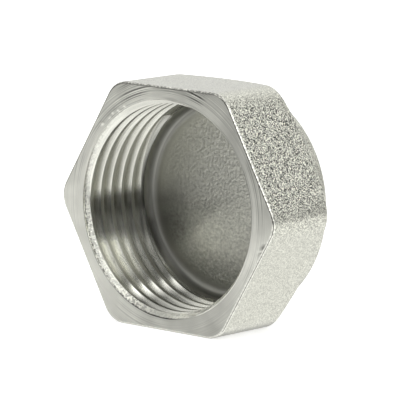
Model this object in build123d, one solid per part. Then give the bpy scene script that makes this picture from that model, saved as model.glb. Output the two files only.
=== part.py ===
from build123d import *
import math
import os

# Blind pipe cap: one nickel-plated brass forging, a hexagon in front with a domed crown behind it,
# forged hollow, then bored and threaded from its open mouth. Sizes are in millimetres.
# It is modelled standing on its mouth, with depths measured along +Z, and then laid down on one flat.

# Thread: parallel pipe thread of one inch. The bore is left at the crests of the thread.
thread_major_diameter = 33.249
thread_height = 1.2  # from the roots to the crests, which the bore leaves flat
thread_depth = 12.4  # from the mouth to where the bore starts to taper

# Mouth
mouth_chamfer_depth = 0.78
mouth_chamfer_angle = 41.0  # between the chamfer and the axis
face_edge_radius = 0.3

# Tapered end that the boring tool leaves at the bottom of the thread
bore_end_length = 0.7
bore_end_angle = 32.0  # between the taper and the axis

# Hollow as it was forged: it still shows below the bore, with its round corner and dished floor
bore_allowance = 0.155  # what the bore takes off the forged wall
hollow_below_bore = 1.65
hollow_corner_radius = 1.8
floor_dish_depth = 0.5
end_wall = 3.95

# Hexagon, 36 across its flats
flat_wall = 1.3755  # between the roots of the thread and a flat
corner_radius = 3.9
corner_height = 6.4  # from the top of the crown down to where the chamfer would meet a sharp corner
corner_chamfer_angle = 30.0
chamfer_edge_radius = 0.4

# Crown behind the hexagon
crown_step = 0.8  # how far the crown stands in from the flats
crown_shoulder_height = 2.9
crown_flat_diameter = 14.0
crown_blend_radius = 1.0

# Sizes that follow
thread_radius = thread_major_diameter / 2
bore_radius = thread_radius - thread_height
hollow_radius = bore_radius - bore_allowance
across_flats = 2 * (thread_radius + flat_wall)
hollow_depth = thread_depth + hollow_below_bore
dish_depth = hollow_depth + floor_dish_depth
total_length = dish_depth + end_wall
corner_chamfer_start = total_length - corner_height
crown_radius = across_flats / 2 - crown_step
sharp_corner_radius = across_flats / 2 / math.cos(math.pi / 6)

# Round outlines are drawn with their radius along +Y, so the seam falls on the middle of a flat.
section = Plane.YZ


def slope(degrees):
    return math.tan(math.radians(degrees))


def turned_outline():
    """Half section of the blank if it were turned: straight, chamfered behind the corners, crowned."""
    chamfer_depth = (sharp_corner_radius - crown_radius) * slope(corner_chamfer_angle)
    crown_foot = (crown_radius, corner_chamfer_start + chamfer_depth)
    shoulder_start = total_length - crown_shoulder_height
    flat_radius = crown_flat_diameter / 2
    straight = Polyline(
        (flat_radius, total_length),
        (0, total_length),
        (0, 0),
        (sharp_corner_radius, 0),
        (sharp_corner_radius, corner_chamfer_start),
        crown_foot,
        (crown_radius, shoulder_start),
    )
    shoulder = EllipticalCenterArc(
        (flat_radius, shoulder_start),
        crown_radius - flat_radius,
        crown_shoulder_height,
        start_angle=0,
        arc_size=90,
    )
    outline = make_face([*straight.edges(), shoulder])
    foot = outline.vertices().sort_by_distance(crown_foot)[0]
    return fillet(foot, crown_blend_radius)


def hexagon():
    outline = RegularPolygon(across_flats / 2, 6, major_radius=False)
    return fillet(outline.vertices(), corner_radius)


def forging():
    """The cap as forged: a hexagonal bar where it overlaps a turned blank, less the hollow."""
    blank = revolve(section * turned_outline(), Axis.Z)
    solid = extrude(hexagon(), total_length) & blank
    solid = fillet(chamfer_edges(solid), chamfer_edge_radius)
    face_edges = solid.faces().sort_by(Axis.Z)[0].outer_wire().edges()
    solid = fillet(face_edges, face_edge_radius)
    return solid - revolve(section * hollow_outline(), Axis.Z)


def chamfer_edges(solid):
    """The wavy edge that the chamfer cuts across the flats and the rounded corners."""
    chamfer = solid.faces().filter_by(GeomType.CONE)
    round_or_seam = (GeomType.CIRCLE, GeomType.LINE)
    return [edge for edge in chamfer.edges() if edge.geom_type not in round_or_seam]


def hollow_outline():
    """Half section of the forged hollow: straight wall, round corner and dished floor."""
    corner = (hollow_radius, hollow_depth)
    wall = Polyline((0, dish_depth), (0, 0), (hollow_radius, 0), corner)
    dish = TangentArc((0, dish_depth), corner, tangent=(1, 0))
    outline = make_face([*wall.edges(), dish])
    return fillet(outline.vertices().sort_by_distance(corner)[0], hollow_corner_radius)


def bore_outline():
    """Half section of what the boring tool clears: mouth chamfer, thread wall and tapered end."""
    end_depth = thread_depth + bore_end_length
    cut = Polyline(
        (0, 0),
        (bore_radius + mouth_chamfer_depth * slope(mouth_chamfer_angle), 0),
        (bore_radius, mouth_chamfer_depth),
        (bore_radius, thread_depth),
        (bore_radius - bore_end_length * slope(bore_end_angle), end_depth),
        (0, end_depth),
        close=True,
    )
    return make_face(cut)


def cap():
    """The whole cap, laid down: mouth towards -Y, the lowest flat in the plane Z = 0."""
    bored = forging() - revolve(section * bore_outline(), Axis.Z)
    lying = Pos(0, -total_length / 2, across_flats / 2) * Rot(-90, 0, 0) * bored
    lying.label = "cap"
    return lying


os.makedirs("parts", exist_ok=True)
export_step(cap(), "parts/cap.step")
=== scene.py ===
import math

import bpy
import numpy as np
from mathutils import Matrix, Vector


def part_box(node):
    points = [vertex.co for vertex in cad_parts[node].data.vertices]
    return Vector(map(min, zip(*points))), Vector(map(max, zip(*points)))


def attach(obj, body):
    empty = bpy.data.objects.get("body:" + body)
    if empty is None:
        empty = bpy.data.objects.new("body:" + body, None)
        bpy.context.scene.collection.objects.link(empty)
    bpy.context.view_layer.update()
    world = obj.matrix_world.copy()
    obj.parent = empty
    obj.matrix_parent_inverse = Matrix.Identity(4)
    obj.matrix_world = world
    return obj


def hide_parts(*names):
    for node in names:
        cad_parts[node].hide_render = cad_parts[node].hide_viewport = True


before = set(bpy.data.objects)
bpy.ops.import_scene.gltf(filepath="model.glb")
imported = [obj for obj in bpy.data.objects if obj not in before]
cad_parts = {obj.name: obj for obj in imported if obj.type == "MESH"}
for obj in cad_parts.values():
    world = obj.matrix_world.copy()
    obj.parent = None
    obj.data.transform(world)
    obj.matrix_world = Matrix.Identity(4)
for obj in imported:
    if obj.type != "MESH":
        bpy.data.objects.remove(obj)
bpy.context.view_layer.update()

# The camera stands to the right of the cap and a little above it, far off behind a long lens.
# Its place and roll were fitted to the outline, the mouth and the thread as the photograph shows them.
CAMERA_AZIMUTH = math.radians(39.909)
CAMERA_ELEVATION = math.radians(9.239)
CAMERA_ROLL = math.radians(1.0505)
CAMERA_DISTANCE, CAMERA_SIDESTEP, CAMERA_RISE = 0.576, 0.004968, 0.00139
SENSOR_WIDTH, LENS = 36.0, 355.9
NEAREST_SEEN, FARTHEST_SEEN = 0.05, 50

lowest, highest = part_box("cap")
MOUTH_CENTRE = Vector((0, lowest.y, (lowest.z + highest.z) / 2))

level_back = Vector((math.sin(CAMERA_AZIMUTH), -math.cos(CAMERA_AZIMUTH), 0))
level_right = Vector((math.cos(CAMERA_AZIMUTH), math.sin(CAMERA_AZIMUTH), 0))
back = level_back * math.cos(CAMERA_ELEVATION) + Vector((0, 0, math.sin(CAMERA_ELEVATION)))
right = level_right * math.cos(CAMERA_ROLL) + back.cross(level_right) * math.sin(CAMERA_ROLL)
up = back.cross(right)
eye = MOUTH_CENTRE + back * CAMERA_DISTANCE + right * CAMERA_SIDESTEP + up * CAMERA_RISE

camera_data = bpy.data.cameras.new("camera")
camera_data.lens, camera_data.sensor_width = LENS, SENSOR_WIDTH
camera_data.clip_start, camera_data.clip_end = NEAREST_SEEN, FARTHEST_SEEN
camera = bpy.data.objects.new("camera", camera_data)
camera.matrix_world = Matrix.Translation(eye) @ Matrix((right, up, back)).transposed().to_4x4()
bpy.context.scene.collection.objects.link(camera)
bpy.context.scene.camera = camera

# The cap is one brass forging: a hexagon in front, a domed crown behind, hollow, and dulled by shot blasting.
# A lathe then faced it, bored it and cut its thread through the mouth, and it was nickel-plated last.
# Its sizes are in millimetres: radii are measured from the axis, depths back from the face round the mouth.
FLAT_DISTANCE, CORNER_RADIUS, SHARP_CORNER = 18.0, 3.9, 20.785
FACE_EDGE = 0.3
CHAMFER_DEPTH, CHAMFER_RUN, CHAMFER_EDGE = 12.1, math.sqrt(3), 0.4
CROWN_RADIUS, CROWN_BLEND, CROWN_BLEND_DEPTH = 17.2, 1.0, 14.747
SHOULDER_DEPTH, CROWN_FLAT_RADIUS, CROWN_TOP = 15.6, 7.0, 18.5
MOUTH_RADIUS, MOUTH_CHAMFER_DEPTH = 16.1025, 0.78
BORE_RADIUS, BORE_DEPTH = 15.4245, 12.4
TAPER_RADIUS, TAPER_DEPTH = 15.237, 12.701
HOLLOW_CORNER, HOLLOW_CORNER_CENTRE = 1.8, (13.4695, 12.358)
HOLLOW_CORNER_END = 86.66  # degrees round the corner's centre, where the dish of the floor begins
DISH_RADIUS, DISH_SPHERE, FLOOR_DEPTH = 13.574, 233.4, 14.55

# The thread is that of a one inch parallel pipe: right-hand, of 55 degree form, its crests left flat by the
# bore. It runs out through the mouth's chamfer. One turn of its groove crosses the left side at GROOVE_DEPTH,
# and GROOVE_TURNS is how far the groove runs inwards from there until it ends against a wall.
PITCH, HALF_FORM = 2.309, math.radians(27.5)
ROOT_APEX, ROOT_ROUNDING, ROOT_CENTRE = 16.994, 0.317, 16.3075
GROOVE_DEPTH, GROOVE_TURNS = 4.645, 3.136
MOUTH_WALL, MOUTH_RUN = 0.02, 0.9  # of the cone that keeps the groove inside the mouth's edge

END_WALL_HALF = 0.05  # half of the angle, in degrees, that the wall at the groove's end takes up
CORNER_COLUMNS, FLAT_COLUMNS = 20, 44
CHAMFER_ROWS, BORE_ROWS, TAPER_ROWS = 14, 137, 6

SIXTH = math.pi / 3  # the angle from one corner of the hexagon to the next
rounding_centre = (FLAT_DISTANCE - CORNER_RADIUS) / math.cos(SIXTH / 2)
rounding_end = math.atan2(CORNER_RADIUS / 2, rounding_centre + CORNER_RADIUS * math.cos(SIXTH / 2))


def column_angles():
    """Angles round the axis: close together over each rounded corner, wider over the flats,
    with two more where the groove of the thread ends against its wall."""
    half = math.degrees(rounding_end)
    corner = np.linspace(-half, half, CORNER_COLUMNS, endpoint=False)
    flat = np.linspace(half, 60 - half, FLAT_COLUMNS, endpoint=False)
    angles = (np.concatenate([corner, flat]) + 60 * np.arange(6)[:, None]).ravel() % 360
    end_wall = 180 + 360 * (math.floor(GROOVE_TURNS) - GROOVE_TURNS)
    return np.radians(np.sort(np.append(angles, [end_wall - END_WALL_HALF, end_wall + END_WALL_HALF])))


def hexagon_radius(angle):
    """Distance from the axis to the hexagon: the flat's distance over the cosine of the angle from its
    middle, or near a corner the far side of the rounding's circle."""
    off_corner = np.abs((angle + SIXTH / 2) % SIXTH - SIXTH / 2)
    flat = FLAT_DISTANCE / np.cos(SIXTH / 2 - off_corner)
    reach = CORNER_RADIUS**2 - (rounding_centre * np.sin(off_corner)) ** 2
    rounding = rounding_centre * np.cos(off_corner) + np.sqrt(np.maximum(reach, 0))
    return np.where(off_corner < rounding_end, rounding, flat)


def arc(centre, radius, start, end, steps, height=None):
    """Rows of a rounding: its centre plus its radius along angles from start to end, in degrees.
    A rounding with a height of its own is part of an ellipse: the sine takes that instead."""
    turn = np.radians(np.linspace(start, end, steps))[:, None]
    return centre[0] + radius * np.cos(turn), centre[1] + (height or radius) * np.sin(turn)


def line(start, end, steps):
    """Rows of a straight run between two points, each a radius and a depth: the start plus an even part
    of the way to the end."""
    part = np.linspace(0, 1, steps)[:, None]
    return start[0] + (end[0] - start[0]) * part, start[1] + (end[1] - start[1]) * part


def groove_offset(angle, depth):
    """How far a point lies behind the middle of the nearest turn of the groove. The middle comes nearer to
    the mouth by one pitch in a full turn, counted from the left, and no turn lies behind the last one."""
    turns = angle / (2 * np.pi) - 0.5
    nearest = np.round((depth - GROOVE_DEPTH) / PITCH + turns)
    nearest = np.minimum(nearest, np.floor(GROOVE_TURNS + turns))
    return depth - (GROOVE_DEPTH + PITCH * (nearest - turns))


def thread_rows(angle):
    """Rows of the mouth chamfer, bore and taper with the groove cut in: at each depth the plain wall or
    the groove, whichever lies deeper. The groove has straight flanks and a rounded root, and a cone keeps
    it inside the mouth's edge. The row nearest to a crest's edge is moved onto it."""
    depths = np.concatenate([
        np.linspace(0, MOUTH_CHAMFER_DEPTH, CHAMFER_ROWS, endpoint=False),
        np.linspace(MOUTH_CHAMFER_DEPTH, BORE_DEPTH, BORE_ROWS, endpoint=False),
        np.linspace(BORE_DEPTH, TAPER_DEPTH, TAPER_ROWS),
    ])
    depth = np.broadcast_to(depths[:, None], (len(depths), len(angle))).copy()

    half_groove = (ROOT_APEX - BORE_RADIUS) * math.tan(HALF_FORM)
    half_step = (BORE_DEPTH - MOUTH_CHAMFER_DEPTH) / BORE_ROWS / 2
    offset = groove_offset(angle, depth)
    to_crest = np.sign(offset) * half_groove - offset
    free = (depth > MOUTH_CHAMFER_DEPTH + half_step) & (depth < BORE_DEPTH - half_step)
    depth += np.where(free & (np.abs(to_crest) < half_step), to_crest, 0)

    away = np.abs(groove_offset(angle, depth))
    flank = ROOT_APEX - away / math.tan(HALF_FORM)
    root = ROOT_CENTRE + np.sqrt(np.maximum(ROOT_ROUNDING**2 - away**2, 0))
    groove = np.where(away < ROOT_ROUNDING * math.cos(HALF_FORM), root, flank)
    groove = np.minimum(groove, MOUTH_RADIUS - MOUTH_WALL + MOUTH_RUN * depth)
    plain = np.interp(
        depth,
        [0, MOUTH_CHAMFER_DEPTH, BORE_DEPTH, TAPER_DEPTH],
        [MOUTH_RADIUS, BORE_RADIUS, BORE_RADIUS, TAPER_RADIUS],
    )
    return np.maximum(plain, groove), depth


# The cap's skin is one closed grid: columns round the axis, and bands of rows from the middle of the crown
# over the outside, across the face and down the bore to the middle of the hollow's floor. The chamfer behind
# the hexagon is a cone, so its edge lies deeper where the hexagon is nearer to the axis. The crown's shoulder
# is a quarter of an ellipse, and the hollow's floor is dished as part of a large sphere.
OUTSIDE, EDGE, FACE, CHAMFER, THREAD, HOLLOW = range(6)
ROW_GAP = 0.1
FINE_RING = 17.3  # the radius inside which the face was turned more finely

angle = column_angles()
hexagon = hexagon_radius(angle)[None, :]
edge_depth = CHAMFER_DEPTH + (SHARP_CORNER - hexagon) / CHAMFER_RUN - CHAMFER_EDGE * math.tan(SIXTH / 2)
shoulder = arc(
    (CROWN_FLAT_RADIUS, SHOULDER_DEPTH), CROWN_RADIUS - CROWN_FLAT_RADIUS, 90, 0, steps=18,
    height=CROWN_TOP - SHOULDER_DEPTH,
)
bored_radius, bored_depth = thread_rows(angle)
corner_start = math.degrees(
    math.atan2(TAPER_DEPTH - HOLLOW_CORNER_CENTRE[1], TAPER_RADIUS - HOLLOW_CORNER_CENTRE[0])
)
corner_radius, corner_depth = arc(
    HOLLOW_CORNER_CENTRE, HOLLOW_CORNER, corner_start, HOLLOW_CORNER_END, steps=16
)
dish_radius = np.linspace(DISH_RADIUS, 0, 26)[1:-1, None]
dish_depth = FLOOR_DEPTH - DISH_SPHERE + np.sqrt(DISH_SPHERE**2 - dish_radius**2)

bands = [
    (OUTSIDE, line((5 * ROW_GAP, CROWN_TOP), (CROWN_FLAT_RADIUS - 5 * ROW_GAP, CROWN_TOP), steps=4)),
    (OUTSIDE, shoulder),
    (OUTSIDE, arc((CROWN_RADIUS + CROWN_BLEND, CROWN_BLEND_DEPTH), CROWN_BLEND, 180, 240, steps=7)),
    (OUTSIDE, arc((hexagon - CHAMFER_EDGE, edge_depth), CHAMFER_EDGE, 60, 0, steps=7)),
    (OUTSIDE, line((hexagon, edge_depth - 4 * ROW_GAP), (hexagon, FACE_EDGE + 4 * ROW_GAP), steps=6)),
    (OUTSIDE, line((hexagon, FACE_EDGE + ROW_GAP / 2), (hexagon, FACE_EDGE + ROW_GAP / 2), steps=1)),
    (EDGE, arc((hexagon - FACE_EDGE, FACE_EDGE), FACE_EDGE, 0, -90, steps=9)),
    (FACE, line((hexagon - FACE_EDGE - ROW_GAP, 0), (FINE_RING + ROW_GAP / 2, 0), steps=3)),
    (FACE, line((FINE_RING - ROW_GAP, 0), (MOUTH_RADIUS + 1.5 * ROW_GAP, 0), steps=6)),
    (FACE, (bored_radius[:1], bored_depth[:1])),
    (CHAMFER, (bored_radius[1 : CHAMFER_ROWS + 1], bored_depth[1 : CHAMFER_ROWS + 1])),
    (THREAD, (bored_radius[CHAMFER_ROWS + 1 :], bored_depth[CHAMFER_ROWS + 1 :])),
    (HOLLOW, (corner_radius[1:], corner_depth[1:])),
    (HOLLOW, (dish_radius, dish_depth)),
]
columns = len(angle)
radius = np.vstack([np.broadcast_to(radii, (len(radii), columns)) for _, (radii, _) in bands])
depth = np.vstack([np.broadcast_to(depths, (len(depths), columns)) for _, (_, depths) in bands])
row_surface = np.concatenate([np.full(len(radii), surface) for surface, (radii, _) in bands])
rows = len(row_surface)

# A few small burrs stand up along the mouth at the upper left, and a few chips are knocked out beside the
# right corner. Each is given by its radius and its angle.
BURRS = [(16.91, 138.1), (16.67, 131.7), (16.86, 128.6), (16.61, 124.7), (16.63, 119.9)]
CHIPS = [(18.72, 351.3), (18.37, 348.9), (18.37, 346.5), (18.58, 350.0)]
BURR_SIZE, BURR_HEIGHT = 0.16, 0.1
CHIP_SIZE, CHIP_DEPTH = 0.2, 0.06


def spots(places, size):
    """Round spots on the face, one at their middles: the exponential of minus the distance from the
    nearest middle over the spot's size, squared."""
    near = np.zeros_like(radius)
    for spot_radius, spot_turn in places:
        sideways = spot_radius * (angle - math.radians(spot_turn))
        near = np.maximum(near, np.exp(-((radius - spot_radius) ** 2 + sideways**2) / size**2))
    return near * (row_surface == FACE)[:, None]


burrs = spots(BURRS, BURR_SIZE)
chips = spots(CHIPS, CHIP_SIZE)
depth = depth - BURR_HEIGHT * burrs + CHIP_DEPTH * chips

# The grid is closed with one point in the middle of the crown and one in the middle of the hollow's floor.
# Each cell is cut along the diagonal that the thread's edges follow as they climb towards the mouth.
grid_points = np.stack([radius * np.cos(angle), depth, radius * np.sin(angle)], axis=-1).reshape(-1, 3)
poles = np.array([[0, CROWN_TOP, 0], [0, FLOOR_DEPTH, 0]])
points = np.concatenate([grid_points, poles]) / 1000 + np.array(MOUTH_CENTRE)

grid = np.arange(rows * columns).reshape(rows, columns)
beside = np.roll(grid, -1, axis=1)
crown_pole, floor_pole = np.full(columns, rows * columns), np.full(columns, rows * columns + 1)
lower = np.stack([grid[:-1], beside[:-1], grid[1:]], axis=-1).reshape(-1, 3)
upper = np.stack([grid[1:], beside[:-1], beside[1:]], axis=-1).reshape(-1, 3)
crown_fan = np.stack([crown_pole, beside[0], grid[0]], axis=-1)
floor_fan = np.stack([floor_pole, grid[-1], beside[-1]], axis=-1)
triangles = np.concatenate([lower, upper, crown_fan, floor_fan])
cells = np.repeat(np.maximum(row_surface[:-1], row_surface[1:]), columns)
face_surface = np.concatenate([cells, cells, np.full(columns, OUTSIDE), np.full(columns, HOLLOW)])

SHARP_ANGLE = math.radians(28)
cap_mesh = bpy.data.meshes.new("threaded_cap")
cap_mesh.from_pydata(points.tolist(), [], triangles.tolist())
cap_mesh.polygons.foreach_set("use_smooth", np.ones(len(triangles), bool))
cap_mesh.polygons.foreach_set("material_index", face_surface.astype(np.int32))
cap_mesh.set_sharp_from_angle(angle=SHARP_ANGLE)

turn = np.degrees(np.broadcast_to(angle, depth.shape))
surface = np.broadcast_to(row_surface[:, None], depth.shape)


def between(at, *stops):
    """Values that run straight from each stop to the next. A stop is a place, then one value or several."""
    places, *listed = np.transpose(stops)
    values = [np.interp(at, places, numbers) for numbers in listed]
    return values[0] if len(values) == 1 else values


# Dents are stored on the points, from none to deep; they also set how strongly the painted glints of the
# blast grain and the hollow's painted dimple shade show. The flats' dents and painted glints are strongest on
# the upper right one, for the light that falls there, and even out towards the crown. The tool scored the
# face most at the top, and tore the chamfer low down on both sides. The hollow is dimpled on its floor, less
# so towards the left.
CROWN_DENTS_AND_PAINTED_GLINTS = 0.35
POLE_DENTS_AND_PAINTED_LIGHT = [0.4, 0.5]  # in the middle of the crown, and of the hollow's floor
flat_dents_and_painted_glints = between(
    turn,
    (0, 0.5), (14, 1.4), (46, 1.4), (62, 0.22), (120, 0.25),
    (180, 0.6), (240, 0.6), (300, 0.22), (350, 0.24), (360, 0.5),
)
flat_dents_and_painted_glints = CROWN_DENTS_AND_PAINTED_GLINTS + (flat_dents_and_painted_glints - CROWN_DENTS_AND_PAINTED_GLINTS) * between(depth, (0, 1), (9, 0.9), (13, 0.45), (15.6, 0))
nicked = between(
    turn,
    (0, 0.4), (50, 0.4), (70, 0.35), (120, 0.35), (140, 0.2), (240, 0.2), (260, 0.15), (350, 0.15),
    (360, 0.4),
)
scored = between(
    turn,
    (0, 0.35), (30, 0.5), (60, 0.85), (80, 1.1), (130, 0.85), (160, 0.4), (200, 0.25), (320, 0.3),
    (360, 0.35),
)
torn = between(
    turn,
    (0, 0.15), (90, 0.15), (120, 0.25), (175, 0.3), (190, 1), (245, 1), (262, 0.2), (272, 0.2),
    (285, 0.7), (300, 1.1), (325, 1.1), (345, 0.15), (360, 0.15),
)
leftwards = between(-radius * np.cos(angle), (2.7, 0), (11.7, 1))
dimpled = between(radius, (12.6, 1), (13.4, 0.05)) * (1 - 0.6 * leftwards)
dents_and_painted_light = np.select(
    [surface == OUTSIDE, surface == EDGE, surface == FACE, surface == CHAMFER],
    [flat_dents_and_painted_glints, nicked, scored, torn],
    dimpled,
)

# Tone and painted light are stored on the points too: how light the nickel is, from black to its lightest.
# Its stops were set by comparing the render's mean brightness with the photograph's, by sector and ring, so
# they hold some of its light too. The face's tone is painted reflection: lightest at the left and darkest at
# the upper right, with its finer inner ring painted lighter at the right and along the top. At the upper left
# the face has a painted highlight beside the mouth. The edge round the face is dark along the top.
POLE_TONE_AND_PAINTED_LIGHT = [0.4, 0.5]
face_tone_and_painted_reflection = between(
    turn,
    (0, 0.62), (20, 0.59), (40, 0.54), (60, 0.58), (80, 0.53), (100, 0.64), (120, 0.7), (140, 0.75),
    (160, 0.78), (180, 0.86), (200, 0.91), (220, 0.94), (240, 0.79), (260, 0.62), (280, 0.57), (300, 0.58),
    (320, 0.69), (340, 0.83), (360, 0.62),
)
fine_ring_painted_light = between(
    turn, (0, 0.1), (20, 0.08), (45, 0), (60, 0.13), (120, 0.1), (130, 0), (330, 0), (360, 0.1)
)
mouth_painted_highlight = between(turn, (90, 0), (105, 0.28), (160, 0.28), (175, 0))
face_tone_and_painted_reflection += fine_ring_painted_light * (radius < FINE_RING) + mouth_painted_highlight * between(radius, (16.2, 1), (16.65, 0))
edge_tone = between(turn, (0, 0.7), (52, 0.7), (66, 0.36), (118, 0.36), (135, 0.8), (300, 0.68), (355, 0.68))

# The chamfer's tone varies round the mouth, lightest where the tool tore it: part torn metal, part painted
# highlight. The thread's colour carries painted reflections, streaks that run back along its wall, and those
# near the mouth differ from those further in. They are largely reflections in the photograph, held here in
# the colour.
# The taper behind the thread is painted darker, as painted shade.
chamfer_tone_and_painted_highlight = between(
    turn,
    (0, 0.7), (25, 0.7), (55, 0.82), (80, 1), (105, 1), (120, 0.86), (130, 0.81), (140, 0.77), (155, 0.82),
    (180, 0.93), (190, 1), (234, 1), (244, 0.78), (252, 0.62), (262, 0.5), (273, 0.55), (282, 1), (330, 1),
    (360, 0.7),
)
near_tone_and_painted_streaks, deep_tone_and_painted_streaks = between(
    turn,
    (0, 0.7, 0.7), (140, 0.82, 0.78), (172, 0.91, 0.86), (177, 0.96, 0.9), (180, 0.82, 0.78),
    (183, 0.56, 0.5), (190, 0.52, 0.46), (200, 0.46, 0.3), (203, 0.68, 0.34), (206, 1, 0.4), (222, 1, 0.44),
    (231, 0.72, 0.5), (233, 0.78, 0.56), (236, 1, 0.8), (241, 0.68, 0.5), (245, 0.5, 0.34),
    (255, 0.44, 0.42), (262, 0.48, 0.64), (272, 0.7, 0.85), (285, 0.75, 0.7), (300, 0.7, 0.7),
)
taper_painted_shade = between(
    turn, (160, 0.42), (175, 0.3), (190, 0.22), (200, 0.15), (207, 0.21), (218, 0.22), (230, 0.5), (255, 0.42)
)
cut = near_tone_and_painted_streaks + (deep_tone_and_painted_streaks - near_tone_and_painted_streaks) * between(depth, (5, 0), (9.5, 1))
cut = np.where(depth < BORE_DEPTH, cut, taper_painted_shade)

# The hollow's colour is painted shade, darkest low at the left, with a painted highlight in a thin lighter
# line round its corner. Its stops are radii, each with the tone above, low at the left and low down.
low_left = between(turn, (178, 0), (200, 1), (213, 1), (226, 0))
low = between(turn, (213, 0), (226, 1), (280, 1), (300, 0))
hollow_above, hollow_low_left, hollow_low = between(
    radius,
    (0, 0.56, 0.52, 0.54), (4, 0.62, 0.47, 0.62), (8, 0.63, 0.43, 0.66), (11, 0.59, 0.29, 0.48),
    (13, 0.64, 0.3, 0.42), (13.8, 0.48, 0.32, 0.36), (14.2, 0.28, 0.32, 0.3), (14.38, 0.45, 0.36, 0.29),
    (14.54, 0.28, 0.1, 0.14), (14.9, 0.26, 0.05, 0.14), (15.1, 0.42, 0.09, 0.28), (15.25, 0.5, 0.12, 0.36),
)
hollow_painted_shade_and_highlight = (1 - low_left - low) * hollow_above + low_left * hollow_low_left + low * hollow_low
tone_and_painted_light = np.select(
    [surface == EDGE, surface == FACE, surface == CHAMFER, surface == HOLLOW],
    [edge_tone, face_tone_and_painted_reflection, chamfer_tone_and_painted_highlight, hollow_painted_shade_and_highlight],
    cut,
)

# Burrs are painted lighter, as painted highlights, and chips darker. A thin line along the mouth's edge,
# apart from its top, is darker at the lower left and at the right, and has a painted highlight low at the
# right.
MOUTH_LINE_WIDTH = 0.12
mouth_line = between(np.abs(radius - MOUTH_RADIUS), (0, 1), (MOUTH_LINE_WIDTH, 0))
mouth_line *= np.isin(surface, (FACE, CHAMFER))
mouth_line_tone = between(
    turn,
    (0, 0.3), (30, 0.3), (60, 0), (168, 0), (180, 0.65), (275, 0.6), (290, 0.1), (298, -0.5), (332, -0.5),
    (345, 0.3),
)
tone_and_painted_light += burrs - chips / 2 - mouth_line_tone * mouth_line

for name, values, pole_values in (("dents_and_painted_light", dents_and_painted_light, POLE_DENTS_AND_PAINTED_LIGHT), ("tone_and_painted_light", tone_and_painted_light, POLE_TONE_AND_PAINTED_LIGHT)):
    values = np.append(values.ravel(), pole_values).astype(np.float32)
    cap_mesh.attributes.new(name, "FLOAT", "POINT").data.foreach_set("value", values)
cap = bpy.data.objects.new("threaded_cap", cap_mesh)
bpy.context.scene.collection.objects.link(cap)


def add_node(tree, kind, inputs=None, **settings):
    """One shader node: settings are its own properties, inputs are values or the sockets that feed it."""
    node = tree.nodes.new(kind)
    for name, value in settings.items():
        setattr(node, name, value)
    for name, value in (inputs or {}).items():
        if isinstance(value, bpy.types.NodeSocket):
            tree.links.new(value, node.inputs[name])
        else:
            node.inputs[name].default_value = value
    return node


def calculate(tree, operation, *values):
    """A Math node's result."""
    return add_node(tree, "ShaderNodeMath", dict(enumerate(values)), operation=operation).outputs[0]


def swing(tree, value, middle, gain):
    """How far a value stands from its middle, times a gain."""
    return calculate(tree, "MULTIPLY", calculate(tree, "SUBTRACT", value, middle), gain)


def stretched(tree, value, low, high):
    """A value spread out so that low becomes nothing and high becomes one."""
    limits = {"Value": value, "From Min": low, "From Max": high}
    return add_node(tree, "ShaderNodeMapRange", limits).outputs[0]


def cloudy(tree, place, scale, detail):
    """Soft random values over the surface, so many to the metre."""
    inputs = {"Vector": place, "Scale": scale, "Detail": detail}
    return add_node(tree, "ShaderNodeTexNoise", inputs).outputs["Fac"]


def ringed(tree, distance, rings, detail):
    """Soft random values along one distance, so many rings to the metre."""
    inputs = {"W": calculate(tree, "MULTIPLY", distance, rings), "Scale": 1.0, "Detail": detail}
    return add_node(tree, "ShaderNodeTexNoise", inputs, noise_dimensions="1D").outputs["Fac"]


def node_group(name, *inputs):
    """A new shader node group and what it is given: numbers, and a vector where the socket is Place."""
    group = bpy.data.node_groups.new(name, "ShaderNodeTree")
    for socket in inputs:
        kind = "NodeSocketVector" if socket == "Place" else "NodeSocketFloat"
        group.interface.new_socket(socket, in_out="INPUT", socket_type=kind)
    return group, group.nodes.new("NodeGroupInput").outputs


def put_out(group, **results):
    """The numbers that a shader node group puts out, each under its name."""
    for socket in results:
        group.interface.new_socket(socket, in_out="OUTPUT", socket_type="NodeSocketFloat")
    output = group.nodes.new("NodeGroupOutput")
    for socket, value in results.items():
        group.links.new(value, output.inputs[socket])


# Marks of the lathe tool: rings round the axis, fine and uneven, deeper in some patches than in others, and
# a few dark scores that come and go along their ring. Rings are counted along the radius plus the depth.
turning_marks, given = node_group("turning_marks", "Place", "Rings", "Patches")
parts = add_node(turning_marks, "ShaderNodeSeparateXYZ", {0: given["Place"]}).outputs
across = add_node(turning_marks, "ShaderNodeCombineXYZ", {"X": parts["X"], "Z": parts["Z"]}).outputs[0]
from_axis = add_node(turning_marks, "ShaderNodeVectorMath", {0: across}, operation="LENGTH").outputs["Value"]
along = calculate(turning_marks, "ADD", from_axis, parts["Y"])
patches = cloudy(turning_marks, given["Place"], scale=given["Patches"], detail=2.0)
patches = stretched(turning_marks, patches, low=0.35, high=0.7)
rings = ringed(turning_marks, along, rings=given["Rings"], detail=2.0)
marks = swing(turning_marks, rings, middle=0.5, gain=patches)
scores = ringed(turning_marks, along, rings=4000, detail=0.0)
scores = stretched(turning_marks, scores, low=0.53, high=0.57)
lengths = cloudy(turning_marks, given["Place"], scale=110, detail=1.0)
lengths = stretched(turning_marks, lengths, low=0.47, high=0.58)
put_out(
    turning_marks,
    Height=calculate(turning_marks, "ADD", marks, 0.5),
    Shade=stretched(turning_marks, marks, low=-0.15, high=0.15),
    Scores=calculate(turning_marks, "MULTIPLY", scores, lengths),
    Mottle=patches,
)

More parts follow.
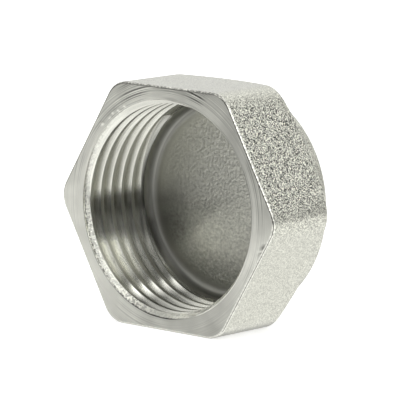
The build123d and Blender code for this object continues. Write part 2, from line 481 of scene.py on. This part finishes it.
# Grain: the dented skin that shot blasting leaves, small facets that each catch the light their own way. Its
# height is bump; its shade makes each facet's colour lighter or darker, as painted glints.
blast_grain_and_painted_glints, given = node_group("blast_grain_and_painted_glints", "Place", "Facets", "Depth")
facets = add_node(blast_grain_and_painted_glints, "ShaderNodeTexVoronoi", {"Vector": given["Place"], "Scale": given["Facets"]})
painted_glint = add_node(blast_grain_and_painted_glints, "ShaderNodeSeparateColor", {0: facets.outputs["Color"]}).outputs[0]
painted_glint = swing(blast_grain_and_painted_glints, stretched(blast_grain_and_painted_glints, painted_glint, low=0.45, high=0.55), middle=0.5, gain=given["Depth"])
put_out(
    blast_grain_and_painted_glints,
    Height=calculate(blast_grain_and_painted_glints, "MULTIPLY", facets.outputs["Distance"], given["Depth"]),
    Shade=calculate(blast_grain_and_painted_glints, "ADD", painted_glint, 0.5),
)

# Forging skin: shallow dimples, rounded by the die, such as orange peel has.
forging_skin, given = node_group("forging_skin", "Place", "Dimples")
put_out(forging_skin, Height=cloudy(forging_skin, given["Place"], scale=given["Dimples"], detail=2.0))


QUARTER_TURN = 0.25


def nickel(name, roughness, across_marks=0.0):
    """Nickel plating for the cap's next surface, its places measured from the middle of the mouth.
    Across_marks is how much more the lathe's rings spread a reflection away from the axis than round it."""
    material = bpy.data.materials.new(name)
    material.use_nodes = True
    tree = material.node_tree
    shader = tree.nodes["Principled BSDF"]
    shader.inputs["Metallic"].default_value = 1
    shader.inputs["Roughness"].default_value = roughness
    if across_marks:
        shader.inputs["Anisotropic"].default_value = across_marks
        shader.inputs["Anisotropic Rotation"].default_value = QUARTER_TURN
        round_axis = add_node(tree, "ShaderNodeTangent", direction_type="RADIAL", axis="Y").outputs[0]
        tree.links.new(round_axis, shader.inputs["Tangent"])
    from_origin = add_node(tree, "ShaderNodeTexCoord").outputs["Object"]
    shift = {"Vector": from_origin, "Location": -MOUTH_CENTRE}
    cap_mesh.materials.append(material)
    return tree, shader, add_node(tree, "ShaderNodeMapping", shift).outputs["Vector"]


def grouped(tree, group, place, **values):
    """What a shared effect puts out at a place, for a material's own values."""
    return add_node(tree, "ShaderNodeGroup", {"Place": place, **values}, node_tree=group).outputs


def stored(tree, name):
    """A value stored on the points of the mesh."""
    return add_node(tree, "ShaderNodeAttribute", attribute_name=name).outputs["Fac"]


def relief(tree, shader, height, depth):
    """Bump of a depth in metres between the lowest and highest height."""
    normal = add_node(tree, "ShaderNodeBump", {"Height": height, "Distance": depth}).outputs["Normal"]
    tree.links.new(normal, shader.inputs["Normal"])


def shaded(tree, shader, shade, blue=0.907):
    """Base colour from black to the lightest nickel, its blue a little under its red and green.
    Sockets 6 and 7 of a Mix node hold the colours that it runs between."""
    colours = {"Factor": shade, 6: (0, 0, 0, 1), 7: (1, 1, blue, 1)}
    mix = add_node(tree, "ShaderNodeMix", colours, data_type="RGBA")
    tree.links.new(mix.outputs[2], shader.inputs["Base Color"])


# Hexagon and crown, as the blasting left them, with painted glints in the grain's colour.
tree, shader, place = nickel("blasted_nickel", roughness=0.3)
grain = grouped(tree, blast_grain_and_painted_glints, place, Facets=9500, Depth=stored(tree, "dents_and_painted_light"))
relief(tree, shader, grain["Height"], depth=0.00003)
shaded(tree, shader, grain["Shade"], blue=0.88)

# Edge between the hexagon and the face, rubbed and nicked.
tree, shader, place = nickel("rubbed_edge_nickel", roughness=0.15)
skin = grouped(tree, forging_skin, place, Dimples=2800)
nicks = swing(tree, skin["Height"], middle=0.5, gain=stored(tree, "dents_and_painted_light"))
shaded(tree, shader, calculate(tree, "MULTIPLY_ADD", nicks, 4.0, stored(tree, "tone_and_painted_light")))

# Face round the mouth, with the lathe's rings, its scores and a faint mottle, on a stored tone of painted
# reflection.
tree, shader, place = nickel("turned_face_nickel", roughness=0.32, across_marks=0.8)
turned = grouped(tree, turning_marks, place, Rings=4500, Patches=250)
relief(tree, shader, turned["Height"], depth=0.00002)
marks = swing(tree, turned["Shade"], middle=0.5, gain=0.5)
marks = calculate(tree, "MULTIPLY_ADD", turned["Scores"], -0.42, marks)
marks = calculate(tree, "MULTIPLY", marks, stored(tree, "dents_and_painted_light"))
marks = calculate(tree, "ADD", swing(tree, turned["Mottle"], middle=0.45, gain=0.12), marks)
shaded(tree, shader, calculate(tree, "ADD", marks, stored(tree, "tone_and_painted_light")))

# Chamfer of the mouth, torn by the tool, with painted glints in the grain's colour and a painted highlight in
# its stored tone.
tree, shader, place = nickel("turned_chamfer_nickel", roughness=0.32)
grain = grouped(tree, blast_grain_and_painted_glints, place, Facets=4000, Depth=stored(tree, "dents_and_painted_light"))
relief(tree, shader, grain["Height"], depth=0.00009)
marks = swing(tree, grain["Shade"], middle=0.5, gain=0.5)
shaded(tree, shader, calculate(tree, "ADD", marks, stored(tree, "tone_and_painted_light")))

# Thread and bore, cut smooth, so that they reflect in long streaks; more streaks are painted reflections in
# their stored tone.
tree, shader, place = nickel("cut_thread_nickel", roughness=0.25, across_marks=0.97)
turned = grouped(tree, turning_marks, place, Rings=3000, Patches=250)
relief(tree, shader, turned["Height"], depth=0.000005)
marks = swing(tree, turned["Shade"], middle=0.5, gain=0.3)
shaded(tree, shader, calculate(tree, "ADD", marks, stored(tree, "tone_and_painted_light")))

# Hollow, left as the die formed it, dull and dimpled, with painted shade in its stored tone and painted shade
# on its dimples.
tree, shader, place = nickel("forged_hollow_nickel", roughness=0.45)
skin = grouped(tree, forging_skin, place, Dimples=2400)
dimples = calculate(tree, "MULTIPLY", skin["Height"], stored(tree, "dents_and_painted_light"))
relief(tree, shader, dimples, depth=0.00011)
painted_dimple_shade = calculate(tree, "MULTIPLY_ADD", stored(tree, "dents_and_painted_light"), -0.5, dimples)
shaded(tree, shader, calculate(tree, "MULTIPLY_ADD", painted_dimple_shade, 0.6, stored(tree, "tone_and_painted_light")))

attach(cap, "root")
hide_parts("cap")

# The cap lies on a table of plain white paper. The camera sees the paper lit a little from within, so that
# it is white all the way back and only the soft shadow of the cap shows on it. The metal doesn't mirror it:
# the tent's lowest panels stand for the light that it throws back.
TABLE_HALF = 1.5
TABLE_GLOW = 0.55

floor_mesh = bpy.data.meshes.new("table")
corners = TABLE_HALF * np.array([(-1, -1, 0), (1, -1, 0), (1, 1, 0), (-1, 1, 0)])
floor_mesh.from_pydata(corners.tolist(), [], [(0, 1, 2, 3)])
floor = bpy.data.objects.new("table", floor_mesh)
bpy.context.scene.collection.objects.link(floor)
floor.visible_glossy = False
floor.visible_shadow = False
paper = bpy.data.materials.new("white_paper")
paper.use_nodes = True
tree = paper.node_tree
shader = tree.nodes["Principled BSDF"]
shader.inputs["Base Color"].default_value = (0.8, 0.8, 0.8, 1)
shader.inputs["Roughness"].default_value = 0.9
shader.inputs["Emission Color"].default_value = (1, 1, 1, 1)
seen = add_node(tree, "ShaderNodeLightPath").outputs["Is Camera Ray"]
tree.links.new(calculate(tree, "MULTIPLY", seen, TABLE_GLOW), shader.inputs["Emission Strength"])
floor_mesh.materials.append(paper)

# A white tent stands round the table, open towards the camera's side, with one lamp window high in front.
# Each panel is a patch of sky with soft edges, and lies over the panels before it. The last two numbers are
# how far its middle leans over for each degree that it rises, and how bright it is.
TENT_LEVEL = 1.0
PANEL_EDGE = math.radians(1)
PANELS = [
    # azimuth from the mouth's side: from, to; elevation: from, to; slant, level
    (-15, 20, -90, -7.6, 0, 1.25),
    (20, 50, -90, -7.6, 0, 0.75),
    (50, 80, -90, -7.6, 0, 0.05),
    (110, 195, -90, -3, 0, 1.35),
    (195, 285, -90, -3, 0, 0.65),
    (-75, -45, -7.6, 14, 0, 0.1),
    (-45, -30, -7.6, 14, 0, 0.25),
    (-30, 60, -7.6, 56, 0, 0.03),
    (60, 80, -7.6, 34, 0, 0.1),
    (60, 80, 34, 56, 0, 2.2),
    (42, 56, 10, 58, -0.44, 4.5),
    (-30, -10, -7.6, 1, 0, 0.4),
    (20, 35, -7.6, 1, 0, 0.4),
    (12, 30, 10, 22, 0, 0.25),
    (-45, -25, 28, 36, 0, 1.0),
    (-3, 12, 30, 36, 0, 1.5),
    (12, 30, 22, 36, 0, 2.2),
    (-11, 20, 36, 44, 0, 1.0),
    (28, 38, 14, 26, -0.3, 1.2),
    (-25.5, -14.5, 18, 48, 0.3, 2.5),
    (110, 150, -3, 28, 0, 0.5),
    (175, 285, 26, 56, 0, 1.3),
]

tent_panel, given = node_group(
    "tent_panel",
    "Under", "Azimuth", "Elevation", "Middle", "Half Width", "Height", "Half Height", "Slant", "Level",
)


def inside(offset, half):
    """A mask that falls softly from one to nothing where the offset reaches half the panel's width."""
    left_over = calculate(tent_panel, "SUBTRACT", half, calculate(tent_panel, "ABSOLUTE", offset))
    edge = {"Value": left_over, "From Min": -PANEL_EDGE, "From Max": PANEL_EDGE}
    return add_node(tent_panel, "ShaderNodeMapRange", edge, interpolation_type="SMOOTHSTEP").outputs[0]


def mixed(tree, part, low, high):
    """A number that runs from low to high as the part goes from nothing to one.
    Sockets 2 and 3 of a Mix node hold the numbers that it runs between."""
    return add_node(tree, "ShaderNodeMix", {0: part, 2: low, 3: high}).outputs[0]


upwards = calculate(tent_panel, "SUBTRACT", given["Elevation"], given["Height"])
middle = calculate(tent_panel, "MULTIPLY_ADD", upwards, given["Slant"], given["Middle"])
sideways = calculate(tent_panel, "SUBTRACT", given["Azimuth"], middle)
sideways = calculate(tent_panel, "WRAP", sideways, math.pi, -math.pi)
mask = calculate(
    tent_panel, "MULTIPLY", inside(sideways, given["Half Width"]), inside(upwards, given["Half Height"])
)
put_out(tent_panel, Light=mixed(tent_panel, mask, given["Under"], given["Level"]))

tent = bpy.data.worlds.new("light_tent")
tent.use_nodes = True
tree = tent.node_tree
heading = add_node(tree, "ShaderNodeTexCoord").outputs["Generated"]
heading = add_node(tree, "ShaderNodeSeparateXYZ", {0: heading}).outputs
azimuth = calculate(tree, "ARCTAN2", heading["X"], calculate(tree, "MULTIPLY", heading["Y"], -1.0))
elevation = calculate(tree, "ARCSINE", heading["Z"])
light = TENT_LEVEL
for start, end, bottom, top, slant, level in PANELS:
    panel = {
        "Under": light,
        "Azimuth": azimuth,
        "Elevation": elevation,
        "Middle": math.radians((start + end) / 2),
        "Half Width": math.radians((end - start) / 2),
        "Height": math.radians((bottom + top) / 2),
        "Half Height": math.radians((top - bottom) / 2),
        "Slant": slant,
        "Level": level,
    }
    light = add_node(tree, "ShaderNodeGroup", panel, node_tree=tent_panel).outputs[0]

# The camera sees plain white where it looks past the table. The tent's light is sampled finely enough to
# find its narrow panels.
PLAIN_WHITE = 1.0
seen = add_node(tree, "ShaderNodeLightPath").outputs["Is Camera Ray"]
background = tree.nodes["Background"]
background.inputs["Color"].default_value = (1, 1, 1, 1)
tree.links.new(mixed(tree, seen, light, PLAIN_WHITE), background.inputs["Strength"])
tent.cycles.sampling_method = "MANUAL"
tent.cycles.sample_map_resolution = 1024
bpy.context.scene.world = tent
bpy.context.scene.view_settings.view_transform = "Standard"
